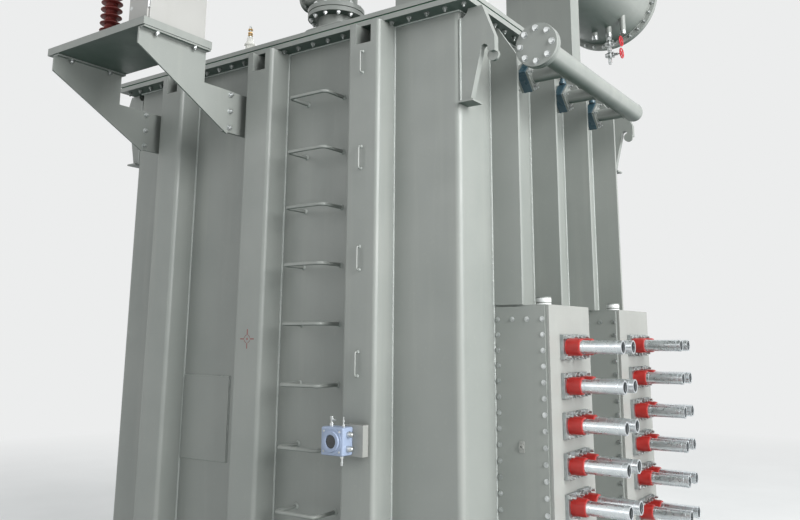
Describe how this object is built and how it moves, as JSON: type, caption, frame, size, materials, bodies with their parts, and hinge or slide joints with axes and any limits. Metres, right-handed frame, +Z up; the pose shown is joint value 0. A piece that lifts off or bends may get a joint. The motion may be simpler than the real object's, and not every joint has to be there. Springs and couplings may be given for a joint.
{
  "type": "power transformer",
  "caption": "Power transformer with a ribbed welded tank, bolted cover, conservator on pedestals, valved pipe header, rod terminal boxes, rung ladder and side platform.",
  "frame": {"origin": "centre of the tank's footprint on the floor, at the underside of the base plate", "axes": "+Z up; -Y is the ladder and platform side; +X is the side of the terminal boxes and the pipe header"},
  "size_m": [3.2495, 3.518, 4.54],
  "materials": {
    "tank_paint": "satin",
    "panel_paint": "satin",
    "gasket_rubber": "matt",
    "valve_paint": "semi-gloss",
    "cabinet_paint": "semi-gloss",
    "arrester_red": "semi-gloss",
    "sampler_paint": "semi-gloss",
    "porcelain_white": "glazed",
    "bare_steel": "brushed"
  },
  "bodies": {
    "root": {"back_stiffener_1": "tank_paint", "back_stiffener_2": "tank_paint", "back_stiffener_3": "tank_paint", "base_plate": "tank_paint", "conservator_drum": "tank_paint", "conservator_end_cover": "tank_paint", "conservator_pedestal_1": "tank_paint", "conservator_pedestal_2": "tank_paint", "control_cabinet": "cabinet_paint", "cover_bushing": "porcelain_white", "cover_plate": "tank_paint", "cover_rail": "tank_paint", "cover_turret": "tank_paint", "drain_valves": "bare_steel", "front_stiffener_1": "tank_paint", "front_stiffener_2": "tank_paint", "front_stiffener_3": "tank_paint", "gas_sampler": "sampler_paint", "header_blind_flange": "tank_paint", "header_pipe": "tank_paint", "header_valve_1": "valve_paint", "header_valve_2": "valve_paint", "header_valve_3": "valve_paint", "junction_block": "porcelain_white", "ladder_rung_1": "tank_paint", "ladder_rung_2": "tank_paint", "ladder_rung_3": "tank_paint", "ladder_rung_4": "tank_paint", "ladder_rung_5": "tank_paint", "ladder_rung_6": "tank_paint", "ladder_rung_7": "tank_paint", "ladder_rung_8": "tank_paint", "ladder_rung_9": "tank_paint", "left_fin_1": "tank_paint", "left_fin_2": "tank_paint", "left_fin_3": "tank_paint", "left_fin_4": "tank_paint", "lifting_lug_1": "tank_paint", "lifting_lug_2": "tank_paint", "lifting_lug_3": "tank_paint", "lifting_lug_4": "tank_paint", "oil_gauge": "valve_paint", "platform_bracket_1": "tank_paint", "platform_bracket_2": "tank_paint", "platform_tray": "tank_paint", "right_fin_1": "tank_paint", "right_fin_2": "tank_paint", "right_fin_3": "tank_paint", "right_fin_4": "tank_paint", "rim_flange": "tank_paint", "rim_gasket": "gasket_rubber", "sampler_bracket": "sampler_paint", "surge_arrester": "arrester_red", "tank_body": "tank_paint", "terminal_box_1": "tank_paint", "terminal_box_2": "tank_paint", "terminal_panel_1": "panel_paint", "terminal_panel_2": "panel_paint"}
  },
  "joints": []
}
